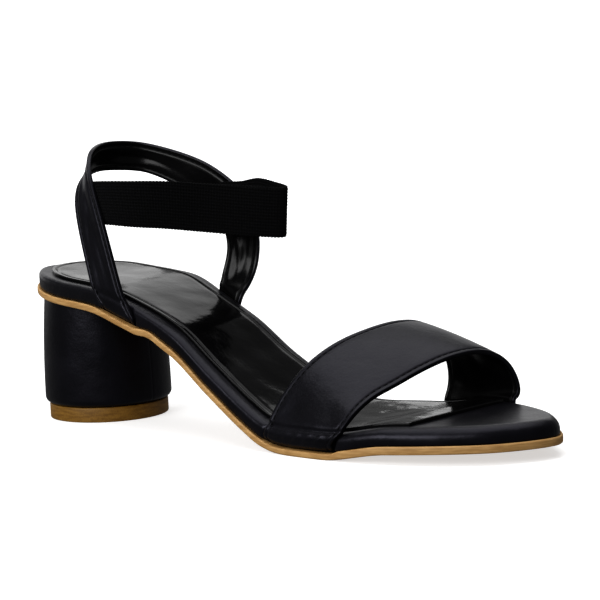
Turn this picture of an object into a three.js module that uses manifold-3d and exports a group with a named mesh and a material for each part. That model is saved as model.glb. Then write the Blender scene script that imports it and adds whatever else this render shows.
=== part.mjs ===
// A right shoe: an open sandal on a round covered block heel, standing empty on the floor.
// Millimetres. +X points to the toe, +Y to the inner side of the foot and +Z up.
// The origin is the middle of the top lift's underside, where the heel meets the floor.

import * as THREE from 'three';
import Module from 'manifold-3d';

// Sole
const clearance = 0.3;
const soleLength = 250;
const ballWidth = 80;
const heelMiddle = 27;
const heelRise = 49.4;
const toeSpring = 4.7;
const outsoleThickness = 2.7;
const outsoleEdge = 0.5;
const platformThickness = 6.4;
const platformInset = 1;
const platformRound = 2.2;
const sockThickness = 1;
const sockInset = 6.5;
const sockEdge = 0.4;
const sockToeGap = 40;
const seatCup = 1.2;

// Heel
const heelRadius = 26;
const heelTaper = 2;
const heelRound = 2.6;
const liftRadius = 24.4;
const liftHeight = 6;
const liftEdge = 0.6;

// Straps
const strapWall = 1.8;
const strapInset = 0.3;
const tuckLength = 9;
const tuckBend = 1.6;
const toeStrapHeight = 40;
const toeStrapCrown = 1;
const ankleHeight = 60;
const elasticWall = 1.4;
const elasticWidth = 20;
const lapGap = 0.5;

// Fineness of the faceted surfaces
const tipFlat = 0.15;
const roundEnd = 28;
const endStations = 7;
const middleStations = 36;
const levelColumns = 2;
const dishedColumns = 4;
const heelStations = 18;
const toeStrapColumns = 8;
const ankleStrapColumns = 4;
const elasticColumns = 4;
const toeStrapSteps = 32;
const ankleStrapSteps = 60;
const elasticSteps = 56;

// Where the sole's edge runs: shares of the sole's length and of the ball's width.
const heelTip = 0.01;
const toeTip = 0.06;
const outline = [
  { along: 0.018, outer: -0.18, inner: 0.195 },
  { along: 0.075, outer: -0.33, inner: 0.36 },
  { along: 0.195, outer: -0.4, inner: 0.365 },
  { along: 0.358, outer: -0.412, inner: 0.25 },
  { along: 0.498, outer: -0.437, inner: 0.275 },
  { along: 0.61, outer: -0.468, inner: 0.41 },
  { along: 0.71, outer: -0.476, inner: 0.51 },
  { along: 0.805, outer: -0.44, inner: 0.478 },
  { along: 0.9, outer: -0.325, inner: 0.365 },
  { along: 0.962, outer: -0.18, inner: 0.235 },
];

// How high the sole's underside is: shares of the heel's rise and of the toe spring.
const profile = [
  { along: 0, heel: 1.08, toe: 0 },
  { along: 0.112, heel: 1, toe: 0 },
  { along: 0.22, heel: 0.95, toe: 0 },
  { along: 0.303, heel: 0.835, toe: 0 },
  { along: 0.386, heel: 0.66, toe: 0 },
  { along: 0.464, heel: 0.385, toe: 0 },
  { along: 0.542, heel: 0.135, toe: 0 },
  { along: 0.58, heel: 0.042, toe: 0 },
  { along: 0.615, heel: 0.005, toe: 0 },
  { along: 0.64, heel: 0, toe: 0 },
  { along: 0.7, heel: 0, toe: 0 },
  { along: 0.81, heel: 0, toe: 0.75 },
  { along: 1, heel: 0, toe: 1 },
];

// How deep the seat is dished under the heel: shares of the dish's depth.
const dish = [
  { along: 0, depth: 1 },
  { along: 0.248, depth: 1 },
  { along: 0.541, depth: 0 },
  { along: 1, depth: 0 },
];

// The wide strap over the toes, from the outer side to the inner side: its edge toward the
// heel and its edge toward the toe, as shares of the length, the ball's width and its height.
const toeStrapEnds = {
  outer: { back: 0.586, front: 0.721 },
  inner: { back: 0.689, front: 0.837 },
};
const toeStrapRows = [
  { backAlong: 0.602, backAcross: -0.383, backUp: 0.4, frontAlong: 0.743, frontAcross: -0.394, frontUp: 0.38 },
  { backAlong: 0.622, backAcross: -0.278, backUp: 0.68, frontAlong: 0.755, frontAcross: -0.285, frontUp: 0.458 },
  { backAlong: 0.64, backAcross: -0.129, backUp: 0.86, frontAlong: 0.768, frontAcross: -0.163, frontUp: 0.545 },
  { backAlong: 0.659, backAcross: 0.046, backUp: 0.96, frontAlong: 0.782, frontAcross: -0.019, frontUp: 0.65 },
  { backAlong: 0.675, backAcross: 0.219, backUp: 1, frontAlong: 0.799, frontAcross: 0.156, frontUp: 0.735 },
  { backAlong: 0.687, backAcross: 0.369, backUp: 0.937, frontAlong: 0.82, frontAcross: 0.319, frontUp: 0.733 },
  { backAlong: 0.694, backAcross: 0.481, backUp: 0.675, frontAlong: 0.833, frontAcross: 0.431, frontUp: 0.575 },
  { backAlong: 0.693, backAcross: 0.525, backUp: 0.388, frontAlong: 0.839, frontAcross: 0.469, frontUp: 0.325 },
];

// The strap round the ankle, from its outer end, behind the ankle, to its inner end. Its heelward
// edge becomes the lower edge behind the ankle, and its toeward edge becomes the top edge.
const ankleStrapEnds = {
  outer: { back: 0.234, front: 0.307 },
  inner: { back: 0.289, front: 0.341 },
};
const ankleStrapRows = [
  { backAlong: 0.21, backAcross: -0.383, backUp: 0.138, frontAlong: 0.28, frontAcross: -0.39, frontUp: 0.083 },
  { backAlong: 0.175, backAcross: -0.34, backUp: 0.483, frontAlong: 0.239, frontAcross: -0.353, frontUp: 0.477 },
  { backAlong: 0.161, backAcross: -0.308, backUp: 0.642, frontAlong: 0.215, frontAcross: -0.325, frontUp: 0.658 },
  { backAlong: 0.152, backAcross: -0.256, backUp: 0.733, frontAlong: 0.191, frontAcross: -0.288, frontUp: 0.807 },
  { backAlong: 0.146, backAcross: -0.181, backUp: 0.788, frontAlong: 0.167, frontAcross: -0.219, frontUp: 0.917 },
  { backAlong: 0.136, backAcross: -0.075, backUp: 0.807, frontAlong: 0.144, frontAcross: -0.113, frontUp: 0.977 },
  { backAlong: 0.127, backAcross: 0.038, backUp: 0.803, frontAlong: 0.127, frontAcross: 0.025, frontUp: 1 },
  { backAlong: 0.133, backAcross: 0.163, backUp: 0.79, frontAlong: 0.132, frontAcross: 0.15, frontUp: 0.995 },
  { backAlong: 0.155, backAcross: 0.235, backUp: 0.767, frontAlong: 0.157, frontAcross: 0.225, frontUp: 0.973 },
  { backAlong: 0.227, backAcross: 0.288, backUp: 0.637, frontAlong: 0.243, frontAcross: 0.306, frontUp: 0.867 },
  { backAlong: 0.265, backAcross: 0.31, backUp: 0.533, frontAlong: 0.291, frontAcross: 0.325, frontUp: 0.767 },
  { backAlong: 0.289, backAcross: 0.325, backUp: 0.408, frontAlong: 0.327, frontAcross: 0.35, frontUp: 0.642 },
  { backAlong: 0.298, backAcross: 0.325, backUp: 0.283, frontAlong: 0.349, frontAcross: 0.3675, frontUp: 0.467 },
  { backAlong: 0.299, backAcross: 0.306, backUp: 0.183, frontAlong: 0.354, frontAcross: 0.37, frontUp: 0.267 },
  { backAlong: 0.296, backAcross: 0.281, backUp: 0.083, frontAlong: 0.351, frontAcross: 0.3375, frontUp: 0.083 },
];

// The elastic across the front of the ankle, by the middle of its band. Its top edge rakes
// toward the heel and leans to the inner side. The rows at its ends lie on the strap's inner face.
const elasticRows = [
  { along: 0.186, up: 0.628, wide: 0.92, rake: 0.41, lean: 0, on: 'outer' },
  { along: 0.219, up: 0.633, wide: 0.92, rake: 0.41, lean: 0, on: 'outer' },
  { along: 0.26, across: -0.234, up: 0.615, wide: 0.93, rake: 0.2, lean: 0.12 },
  { along: 0.296, across: -0.112, up: 0.597, wide: 0.95, rake: 0.06, lean: 0.08 },
  { along: 0.336, across: 0.03, up: 0.565, wide: 0.97, rake: 0, lean: 0.1 },
  { along: 0.383, across: 0.145, up: 0.538, wide: 1, rake: 0, lean: 0.07 },
  { along: 0.42, across: 0.222, up: 0.518, wide: 1, rake: -0.1, lean: 0.02 },
  { along: 0.436, across: 0.265, up: 0.512, wide: 1, rake: -0.1, lean: 0 },
  { along: 0.431, across: 0.312, up: 0.517, wide: 1, rake: -0.1, lean: 0 },
  { along: 0.403, across: 0.341, up: 0.537, wide: 1, rake: -0.05, lean: 0 },
  { along: 0.366, across: 0.342, up: 0.553, wide: 0.98, rake: 0, lean: 0 },
  { along: 0.331, up: 0.55, wide: 0.96, rake: 0, lean: 0, on: 'inner' },
  { along: 0.295, up: 0.545, wide: 0.96, rake: 0, lean: 0, on: 'inner' },
];

const wasm = await Module();
wasm.setup();

function place(along) {
  return along * soleLength - heelMiddle;
}

function mix(a, b, share) {
  return a + (b - a) * share;
}

// A smooth line through a table's column. It never overshoots, so level rows stay level.
function follow(table, column, along) {
  const last = table.length - 2;
  const found = table.findLastIndex((row) => row.along <= along);
  const i = Math.min(Math.max(found, 0), last);
  const slope = (k) => {
    const a = table[Math.min(Math.max(k, 0), last)];
    const b = table[Math.min(Math.max(k, 0), last) + 1];
    return (b[column] - a[column]) / (b.along - a.along);
  };
  const bend = (k) => {
    const product = slope(k - 1) * slope(k);
    return product > 0 ? (2 * product) / (slope(k - 1) + slope(k)) : 0;
  };
  const step = table[i + 1].along - table[i].along;
  const t = (along - table[i].along) / step;
  const rise = (3 - 2 * t) * t * t;
  return mix(table[i][column], table[i + 1][column], rise)
    + step * t * (1 - t) * ((1 - t) * bend(i) - t * bend(i + 1));
}

function underside(x) {
  const along = (x + heelMiddle) / soleLength;
  return heelRise * follow(profile, 'heel', along) + toeSpring * follow(profile, 'toe', along);
}

// The edge of the sole, as one closed curve that is then split into its two sides.
function soleSides() {
  const corner = (along, across) => new THREE.Vector3(place(along), across * ballWidth, 0);
  const points = [
    corner(0, heelTip),
    ...outline.map((row) => corner(row.along, row.outer)),
    corner(1, toeTip),
    ...outline.toReversed().map((row) => corner(row.along, row.inner)),
  ];
  const edgeSteps = 30;
  const curve = new THREE.CatmullRomCurve3(points, true, 'centripetal');
  const fine = curve.getPoints(points.length * edgeSteps);
  const toe = (outline.length + 1) * edgeSteps;
  return { outer: fine.slice(0, toe + 1), inner: fine.slice(toe).reverse() };
}

const sides = soleSides();

// The point of the sole's edge at x on one side, moved inward by an inset.
function edge(x, side, inset) {
  const line = sides[side];
  const found = line.findIndex((point) => point.x > x);
  const i = Math.min(Math.max(found, 1), line.length - 1);
  const [a, b] = [line[i - 1], line[i]];
  const share = (x - a.x) / (b.x - a.x);
  const turn = side === 'outer' ? 1 : -1;
  const inward = new THREE.Vector3(a.y - b.y, b.x - a.x, 0).normalize().multiplyScalar(turn * inset);
  return new THREE.Vector3(x, mix(a.y, b.y, share), 0).add(inward);
}

function geometry(points, triangles) {
  const shape = new THREE.BufferGeometry();
  shape.setAttribute('position', new THREE.Float32BufferAttribute(points.flatMap((p) => p.toArray()), 3));
  shape.setIndex(triangles.flat());
  shape.computeVertexNormals();
  return shape;
}

// One solid from a stack of loops, lowest first. Each loop has as many points down its outer
// side as down its inner side, and the two ends of the stack are closed by rows across.
function stack(loops, columns) {
  const points = [];
  const triangles = [];
  const count = loops[0].outer.length;
  const rings = loops.map((loop) => {
    const start = points.length;
    points.push(...loop.outer, ...loop.inner.toReversed());
    return start;
  });
  const around = 2 * count;
  for (let r = 0; r + 1 < rings.length; r += 1) {
    for (let i = 0; i < around; i += 1) {
      const next = (i + 1) % around;
      const [a, b, c, d] = [rings[r] + i, rings[r] + next, rings[r + 1] + next, rings[r + 1] + i];
      triangles.push([a, b, c], [a, c, d]);
    }
  }
  const close = (loop, start, up) => {
    const add = (a, b, c) => triangles.push(up ? [a, b, c] : [a, c, b]);
    const rows = [];
    for (let i = 0; i < count; i += 1) {
      const row = [start + i];
      const isEnd = i === 0 || i === count - 1;
      for (let k = 1; k < columns && !isEnd; k += 1) {
        const point = loop.outer[i].clone().lerp(loop.inner[i], k / columns);
        point.z = loop.height(point.x, point.y);
        row.push(points.length);
        points.push(point);
      }
      row.push(start + around - 1 - i);
      rows.push(row);
    }
    for (let i = 0; i + 1 < count; i += 1) {
      let [a, b] = [0, 0];
      const [near, far] = [rows[i], rows[i + 1]];
      while (a + 1 < near.length || b + 1 < far.length) {
        if (b + 1 < far.length && (a + 1) / near.length >= (b + 1) / far.length) {
          add(near[a], far[b], far[b + 1]);
          b += 1;
        } else if (a + 1 < near.length) {
          add(near[a], far[b], near[a + 1]);
          a += 1;
        } else {
          add(near[a], far[b], far[b + 1]);
          b += 1;
        }
      }
    }
  };
  close(loops[0], rings[0], false);
  close(loops.at(-1), rings.at(-1), true);
  return geometry(points, triangles);
}

// Places along the sole, closer together where its two ends are round.
function stations(from, to) {
  const quarter = Array.from({ length: endStations }, (_, i) => (
    roundEnd * (1 - Math.cos((Math.PI * i) / (2 * endStations)))));
  const middle = Array.from({ length: middleStations + 1 }, (_, i) => (
    mix(from + roundEnd, to - roundEnd, i / middleStations)));
  return [...quarter.map((x) => from + x), ...middle, ...quarter.toReversed().map((x) => to - x)];
}

// A layer of the sole. Its steps give the inset and height of its edge, from the bottom up.
function layer(steps, toeEnd, columns) {
  const places = stations(place(0) + tipFlat, toeEnd);
  const loops = steps.map(({ inset, height }) => {
    const points = { height };
    for (const side of ['outer', 'inner']) {
      points[side] = places.map((x) => {
        const point = edge(x, side, inset);
        point.z = height(point.x, point.y);
        return point;
      });
    }
    return points;
  });
  return stack(loops, columns);
}

function level(height) {
  return (x) => underside(x) + height;
}

// A level that is dished toward the middle of the seat.
function dished(height) {
  return (x, y) => {
    const along = (x + heelMiddle) / soleLength;
    const [low, high] = [edge(x, 'outer', 0).y, edge(x, 'inner', 0).y];
    const side = (2 * y - low - high) / (high - low);
    return underside(x) + height - seatCup * follow(dish, 'depth', along) * Math.max(0, 1 - side * side);
  };
}

const toeEnd = place(1) - tipFlat;
const platformBase = outsoleThickness + clearance;
const platformTop = platformBase + platformThickness;
const sockBase = platformTop + clearance;
const sockTop = sockBase + sockThickness;

function makeOutsole() {
  return layer([
    { inset: outsoleEdge, height: level(0) },
    { inset: 0, height: level(outsoleEdge) },
    { inset: 0, height: level(outsoleThickness - outsoleEdge) },
    { inset: outsoleEdge, height: level(outsoleThickness) },
  ], toeEnd, levelColumns);
}

function makeWrappedPlatform() {
  const rounding = [0, 30, 60, 90].map((degrees) => {
    const angle = THREE.MathUtils.degToRad(degrees);
    const inset = platformInset + platformRound * (1 - Math.cos(angle));
    return { inset, height: dished(platformTop - platformRound * (1 - Math.sin(angle))) };
  });
  return layer([
    { inset: platformInset + outsoleEdge, height: level(platformBase) },
    { inset: platformInset, height: level(platformBase + outsoleEdge) },
    ...rounding,
  ], toeEnd, dishedColumns);
}

function makeSockLining() {
  return layer([
    { inset: sockInset, height: dished(sockBase) },
    { inset: sockInset, height: dished(sockTop - sockEdge) },
    { inset: sockInset + sockEdge, height: dished(sockTop) },
  ], place(1) - sockToeGap, dishedColumns);
}

// A round solid about the heel's middle. Each step is a radius and a height.
function round(steps) {
  const loops = steps.map(({ radius, height }) => {
    const points = { outer: [], inner: [], height };
    for (let i = 0; i < heelStations; i += 1) {
      const angle = (Math.PI * (i + 0.5)) / heelStations;
      const [x, y] = [-radius * Math.cos(angle), radius * Math.sin(angle)];
      points.outer.push(new THREE.Vector3(x, -y, height(x, -y)));
      points.inner.push(new THREE.Vector3(x, y, height(x, y)));
    }
    return points;
  });
  return stack(loops, levelColumns);
}

function makeTopLift() {
  return round([
    { radius: liftRadius - liftEdge, height: () => 0 },
    { radius: liftRadius, height: () => liftEdge },
    { radius: liftRadius, height: () => liftHeight },
  ]);
}

function makeHeelBlock() {
  const foot = liftHeight + clearance;
  const rounding = [0, 30, 60, 90].map((degrees) => {
    const angle = THREE.MathUtils.degToRad(degrees);
    const radius = heelRadius - heelRound * (1 - Math.sin(angle));
    return { radius, height: () => foot + heelRound * (1 - Math.cos(angle)) };
  });
  const wall = [0.35, 0.7, 1].map((share) => ({
    radius: heelRadius - heelTaper * share * share,
    height: (x) => mix(foot + heelRound, underside(x) - clearance, share),
  }));
  return round([...rounding, ...wall]);
}

// A surface of points, as rows along it, from the curves of its columns.
function surfaceFrom(columns, rowCount) {
  return Array.from({ length: rowCount + 1 }, (_, i) => (
    columns.map((column) => column.getPoint(i / rowCount))));
}

function surfaceNormals(rows) {
  return rows.map((row, i) => row.map((point, k) => {
    const [before, after] = [rows[Math.max(i - 1, 0)][k], rows[Math.min(i + 1, rows.length - 1)][k]];
    const [left, right] = [row[Math.max(k - 1, 0)], row[Math.min(k + 1, row.length - 1)]];
    return right.clone().sub(left).cross(after.clone().sub(before)).normalize();
  }));
}

// A wall of even thickness on a surface of points, grown on every side where it cuts a recess.
function wall(surface, thickness, grow = 0) {
  const rows = surface.map((row) => row.map((point) => point.clone()));
  const normals = surfaceNormals(rows);
  const push = (point, from) => point.add(point.clone().sub(from).setLength(grow));
  if (grow > 0) {
    for (const row of rows) {
      push(row[0], row[1]);
      push(row.at(-1), row.at(-2));
    }
    rows[0].forEach((point, k) => push(point, rows[1][k]));
    rows.at(-1).forEach((point, k) => push(point, rows.at(-2)[k]));
  }
  const half = thickness / 2 + grow;
  const [rowCount, columnCount] = [rows.length, rows[0].length];
  const face = (offset) => rows.flatMap((row, i) => (
    row.map((point, k) => point.clone().addScaledVector(normals[i][k], offset))));
  const points = [...face(half), ...face(-half)];
  const triangles = [];
  const back = rowCount * columnCount;
  const at = (i, k) => i * columnCount + k;
  const quad = (a, b, c, d) => triangles.push([a, b, c], [a, c, d]);
  for (let i = 0; i + 1 < rowCount; i += 1) {
    for (let k = 0; k + 1 < columnCount; k += 1) {
      quad(at(i, k), at(i, k + 1), at(i + 1, k + 1), at(i + 1, k));
      quad(back + at(i, k), back + at(i + 1, k), back + at(i + 1, k + 1), back + at(i, k + 1));
    }
  }
  const rim = [
    ...Array.from({ length: columnCount - 1 }, (_, k) => at(0, k)),
    ...Array.from({ length: rowCount - 1 }, (_, i) => at(i, columnCount - 1)),
    ...Array.from({ length: columnCount - 1 }, (_, k) => at(rowCount - 1, columnCount - 1 - k)),
    ...Array.from({ length: rowCount - 1 }, (_, i) => at(rowCount - 1 - i, 0)),
  ];
  rim.forEach((a, n) => {
    const b = rim[(n + 1) % rim.length];
    quad(b, a, back + a, back + b);
  });
  return geometry(points, triangles);
}

// A strap's middle surface. Both of its ends run down the platform's side and turn in under it.
// The crown bulges the middle of its width, most at the middle of its length.
function strapSurface({ rows, ends, base, height, crown, rowCount, columnCount }) {
  const foot = (side, along, degrees, reach) => {
    const angle = THREE.MathUtils.degToRad(degrees);
    const inset = strapInset + strapWall / 2 + tuckBend * (1 - Math.cos(angle)) + reach;
    const point = edge(place(along), side, inset);
    const low = underside(point.x) + platformBase + strapWall / 2;
    point.z = low + tuckBend * (1 - Math.sin(angle));
    return point;
  };
  const shoulder = (side, low, first) => {
    const share = (platformTop - platformBase) / (first.z - low.z);
    const point = edge(mix(low.x, first.x, share), side, strapInset + strapWall / 2);
    point.z = underside(point.x) + platformTop;
    return point;
  };
  const free = (row, share) => new THREE.Vector3(
    place(mix(row.backAlong, row.frontAlong, share)),
    mix(row.backAcross, row.frontAcross, share) * ballWidth,
    base + mix(row.backUp, row.frontUp, share) * height,
  );
  const shares = Array.from({ length: columnCount + 1 }, (_, k) => k / columnCount);
  const endAlong = (side, share) => mix(ends[side].back, ends[side].front, share);
  const columns = shares.map((share) => {
    const middle = rows.map((row) => free(row, share));
    const [start, end] = ['outer', 'inner'].map((side) => {
      const low = foot(side, endAlong(side, share), 0, 0);
      return [low, shoulder(side, low, side === 'outer' ? middle[0] : middle.at(-1))];
    });
    const points = [...start, ...middle, ...end.reverse()];
    return new THREE.CatmullRomCurve3(points, false, 'centripetal');
  });
  const flat = surfaceFrom(columns, rowCount);
  const normals = surfaceNormals(flat);
  const surface = flat.map((row, i) => row.map((point, k) => {
    const bulge = crown * Math.sin((Math.PI * i) / rowCount) * 4 * shares[k] * (1 - shares[k]);
    return point.clone().addScaledVector(normals[i][k], bulge);
  }));
  const tuck = (side, degrees, reach) => shares.map((share) => (
    foot(side, endAlong(side, share), degrees, reach)));
  const turn = (side) => [
    ...[0, 30, 60, 90].map((degrees) => tuck(side, degrees, 0)),
    tuck(side, 90, tuckLength),
  ];
  return [...turn('outer').reverse(), ...surface.slice(1, -1), ...turn('inner')];
}

const toeStrap = strapSurface({
  rows: toeStrapRows,
  ends: toeStrapEnds,
  base: outsoleThickness + clearance,
  height: toeStrapHeight,
  crown: toeStrapCrown,
  rowCount: toeStrapSteps,
  columnCount: toeStrapColumns,
});
const ankleStrap = strapSurface({
  rows: ankleStrapRows,
  ends: ankleStrapEnds,
  base: heelRise + outsoleThickness,
  height: ankleHeight,
  crown: 0,
  rowCount: ankleStrapSteps,
  columnCount: ankleStrapColumns,
});

// The point at a place along and a height that lies against the ankle strap's inner face.
function againstStrap(side, x, z) {
  const half = Math.floor(ankleStrap.length / 2);
  const normals = surfaceNormals(ankleStrap);
  const reach = (strapWall + elasticWall) / 2 + lapGap;
  let best = { distance: Infinity };
  ankleStrap.forEach((row, i) => {
    const wanted = side === 'outer' ? i < half : i > half;
    row.forEach((point, k) => {
      const distance = Math.hypot(point.x - x, point.z - z);
      if (wanted && distance < best.distance) best = { distance, point, normal: normals[i][k] };
    });
  });
  const lift = (x - best.point.x) * best.normal.x + (z - best.point.z) * best.normal.z;
  const y = best.point.y - lift / best.normal.y;
  return new THREE.Vector3(x, y, z).addScaledVector(best.normal, -reach);
}

function elasticSurface() {
  const columns = Array.from({ length: elasticColumns + 1 }, (_, k) => {
    const points = elasticRows.map((row) => {
      const reach = (k / elasticColumns - 0.5) * elasticWidth * row.wide;
      const across = new THREE.Vector3(-row.rake, row.lean, 1).normalize().multiplyScalar(reach);
      const z = heelRise + outsoleThickness + row.up * ankleHeight;
      const point = new THREE.Vector3(place(row.along), (row.across ?? 0) * ballWidth, z).add(across);
      return row.on ? againstStrap(row.on, point.x, point.z) : point;
    });
    return new THREE.CatmullRomCurve3(points, false, 'centripetal');
  });
  return surfaceFrom(columns, elasticSteps);
}

// The platform is recessed where the straps run down its side and turn in under it.
function solidOf(shape) {
  const vertProperties = Float32Array.from(shape.attributes.position.array);
  const triVerts = Uint32Array.from(shape.index.array);
  return new wasm.Manifold(new wasm.Mesh({ numProp: 3, vertProperties, triVerts }));
}

function lowered(surface) {
  return surface.map((row) => row.map((point) => point.clone().setZ(point.z - clearance)));
}

function makePlatform() {
  const straps = [toeStrap, lowered(toeStrap), ankleStrap, lowered(ankleStrap)].map((surface) => (
    solidOf(wall(surface, strapWall, clearance))));
  const whole = solidOf(makeWrappedPlatform());
  const cut = straps.reduce((solid, strap) => solid.subtract(strap), whole).getMesh();
  const shape = new THREE.BufferGeometry();
  shape.setAttribute('position', new THREE.BufferAttribute(cut.vertProperties, 3));
  shape.setIndex(new THREE.BufferAttribute(cut.triVerts, 1));
  shape.computeVertexNormals();
  return shape;
}

const tanRubber = { color: 0xc1955a, roughness: 0.6, metalness: 0 };
const brownRubber = { color: 0x7d5a2a, roughness: 0.5, metalness: 0 };
const blackLeather = { color: 0x17161a, roughness: 0.5, metalness: 0 };
const glossyLining = { color: 0x0f0f11, roughness: 0.25, metalness: 0 };
const blackElastic = { color: 0x0b0b0c, roughness: 0.95, metalness: 0 };

const group = new THREE.Group();

function add(name, shape, finish) {
  const mesh = new THREE.Mesh(shape, new THREE.MeshStandardMaterial(finish));
  mesh.name = name;
  group.add(mesh);
}

add('outsole', makeOutsole(), tanRubber);
add('platform', makePlatform(), blackLeather);
add('sock_lining', makeSockLining(), glossyLining);
add('heel_block', makeHeelBlock(), blackLeather);
add('top_lift', makeTopLift(), brownRubber);
add('toe_strap', wall(toeStrap, strapWall), blackLeather);
add('ankle_strap', wall(ankleStrap, strapWall), blackLeather);
add('elastic_band', wall(elasticSurface(), elasticWall), blackElastic);

export default group;
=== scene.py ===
import math

import bmesh
import bpy
import numpy as np
from mathutils import Matrix, Vector


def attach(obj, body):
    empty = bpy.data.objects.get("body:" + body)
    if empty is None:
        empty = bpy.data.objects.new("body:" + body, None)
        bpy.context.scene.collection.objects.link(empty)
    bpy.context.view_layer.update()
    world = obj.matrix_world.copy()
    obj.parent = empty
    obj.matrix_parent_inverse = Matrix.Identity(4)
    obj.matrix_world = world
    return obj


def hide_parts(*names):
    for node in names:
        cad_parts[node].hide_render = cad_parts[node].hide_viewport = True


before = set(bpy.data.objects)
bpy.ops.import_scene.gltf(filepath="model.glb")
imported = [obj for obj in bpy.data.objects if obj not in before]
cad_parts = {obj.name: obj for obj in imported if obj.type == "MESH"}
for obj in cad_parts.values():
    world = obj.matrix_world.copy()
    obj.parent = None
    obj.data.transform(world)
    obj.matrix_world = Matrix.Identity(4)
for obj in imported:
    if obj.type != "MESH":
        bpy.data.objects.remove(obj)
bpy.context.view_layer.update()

# The shoe's sizes, in metres. +X points to the toe, +Y to the inner side and +Z up.
SOLE_LENGTH = 0.250
BALL_WIDTH = 0.080
HEEL_MIDDLE = 0.027
HEEL_RISE = 0.0494
TOE_SPRING = 0.0047
CLEARANCE = 0.0003
OUTSOLE_THICKNESS = 0.0027
PLATFORM_THICKNESS = 0.0064
PLATFORM_INSET = 0.001
SOCK_THICKNESS = 0.001
SOCK_INSET = 0.0065
SOCK_TOE_GAP = 0.040
GLUE_GAP = 0.00005
SEAT_CUP = 0.0012
HEEL_RADIUS = 0.026
HEEL_TAPER = 0.002
HEEL_ROUND = 0.0026
LIFT_RADIUS = 0.0244
LIFT_HEIGHT = 0.006
STRAP_WALL = 0.0018
STRAP_INSET = 0.0003
TUCK_LENGTH = 0.009
TUCK_BEND = 0.0016
TOE_STRAP_HEIGHT = 0.040
TOE_STRAP_CROWN = 0.001
ANKLE_HEIGHT = 0.060
ELASTIC_WALL = 0.0014
ELASTIC_WIDTH = 0.020
ELASTIC_GAP = 0.0001
TIP_FLAT = 0.00001
ROUND_END = 0.028
MERGE_DISTANCE = 0.000004
SLIVER = 0.000002

PLATFORM_BASE = OUTSOLE_THICKNESS + CLEARANCE
PLATFORM_TOP = PLATFORM_BASE + PLATFORM_THICKNESS
SOCK_BASE = PLATFORM_TOP + GLUE_GAP
SOCK_TOP = PLATFORM_TOP + CLEARANCE + SOCK_THICKNESS
ANKLE_BASE = HEEL_RISE + OUTSOLE_THICKNESS

# The sole's edge: place along, outer side, inner side, as shares of the length and ball width.
HEEL_TIP = 0.01
TOE_TIP = 0.06
OUTLINE = [
    (0.018, -0.18, 0.195),
    (0.075, -0.33, 0.36),
    (0.195, -0.4, 0.365),
    (0.358, -0.412, 0.25),
    (0.498, -0.437, 0.275),
    (0.61, -0.468, 0.41),
    (0.71, -0.476, 0.51),
    (0.805, -0.44, 0.478),
    (0.9, -0.325, 0.365),
    (0.962, -0.18, 0.235),
]

# The underside's height: place along, share of the heel's rise, share of the toe spring.
PROFILE = [
    (0, 1.08, 0),
    (0.112, 1, 0),
    (0.22, 0.95, 0),
    (0.303, 0.835, 0),
    (0.386, 0.66, 0),
    (0.464, 0.385, 0),
    (0.542, 0.135, 0),
    (0.58, 0.042, 0),
    (0.615, 0.005, 0),
    (0.64, 0, 0),
    (0.7, 0, 0),
    (0.81, 0, 0.75),
    (1, 0, 1),
]

# The platform's rounded upper edge: place along, width, depth.
PLATFORM_ROUND = [
    (0, 0.0022, 0.0022),
    (0.2, 0.0024, 0.0022),
    (0.4, 0.0038, 0.0026),
    (0.68, 0.0036, 0.003),
    (0.86, 0.0050, 0.0044),
    (1, 0.0046, 0.0046),
]

# The sag of the sole's outer edge under the ankle strap, and the small knee in front of it.
SAG_DEPTH = 0.0012
SAG_BEGINS = (0.022, 0.042)
SAG_ENDS = (0.0495, 0.0565)
SAG_SIDE = (-0.034, -0.020)
KNEE_HEIGHT = 0.0006
KNEE_PLACE = 0.059
KNEE_REACH = 0.0035

# How deep the seat is dished: place along, share of the dish's depth.
DISH = [(0, 1), (0.248, 1), (0.541, 0), (1, 0)]

# A strap's ends give the places along where its heelward and toeward edges reach the outsole.
# Each strap row: along, across and up for the heelward edge, then for the toeward edge.
TOE_STRAP_ENDS = {"outer": (0.586, 0.721), "inner": (0.689, 0.837)}
TOE_STRAP_ROWS = [
    (0.602, -0.383, 0.4, 0.749, -0.39, 0.345),
    (0.622, -0.278, 0.68, 0.755, -0.285, 0.458),
    (0.64, -0.129, 0.86, 0.768, -0.163, 0.545),
    (0.659, 0.046, 0.96, 0.782, -0.019, 0.65),
    (0.675, 0.219, 1, 0.799, 0.156, 0.735),
    (0.687, 0.369, 0.937, 0.82, 0.319, 0.733),
    (0.694, 0.481, 0.675, 0.833, 0.431, 0.575),
    (0.693, 0.525, 0.388, 0.839, 0.469, 0.325),
]
ANKLE_STRAP_ENDS = {"outer": (0.234, 0.307), "inner": (0.289, 0.341)}
ANKLE_STRAP_ROWS = [
    (0.21, -0.383, 0.138, 0.28, -0.39, 0.083),
    (0.175, -0.34, 0.483, 0.239, -0.353, 0.477),
    (0.161, -0.308, 0.642, 0.215, -0.325, 0.658),
    (0.152, -0.256, 0.733, 0.191, -0.288, 0.807),
    (0.146, -0.181, 0.788, 0.167, -0.219, 0.917),
    (0.136, -0.075, 0.807, 0.144, -0.113, 0.977),
    (0.127, 0.038, 0.803, 0.127, 0.025, 1),
    (0.133, 0.163, 0.79, 0.132, 0.15, 0.995),
    (0.155, 0.235, 0.767, 0.157, 0.225, 0.973),
    (0.227, 0.288, 0.637, 0.243, 0.306, 0.867),
    (0.265, 0.31, 0.533, 0.291, 0.325, 0.767),
    (0.289, 0.325, 0.408, 0.327, 0.35, 0.642),
    (0.298, 0.325, 0.283, 0.349, 0.3675, 0.467),
    (0.299, 0.306, 0.183, 0.354, 0.37, 0.267),
    (0.296, 0.281, 0.083, 0.351, 0.3375, 0.083),
]

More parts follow.
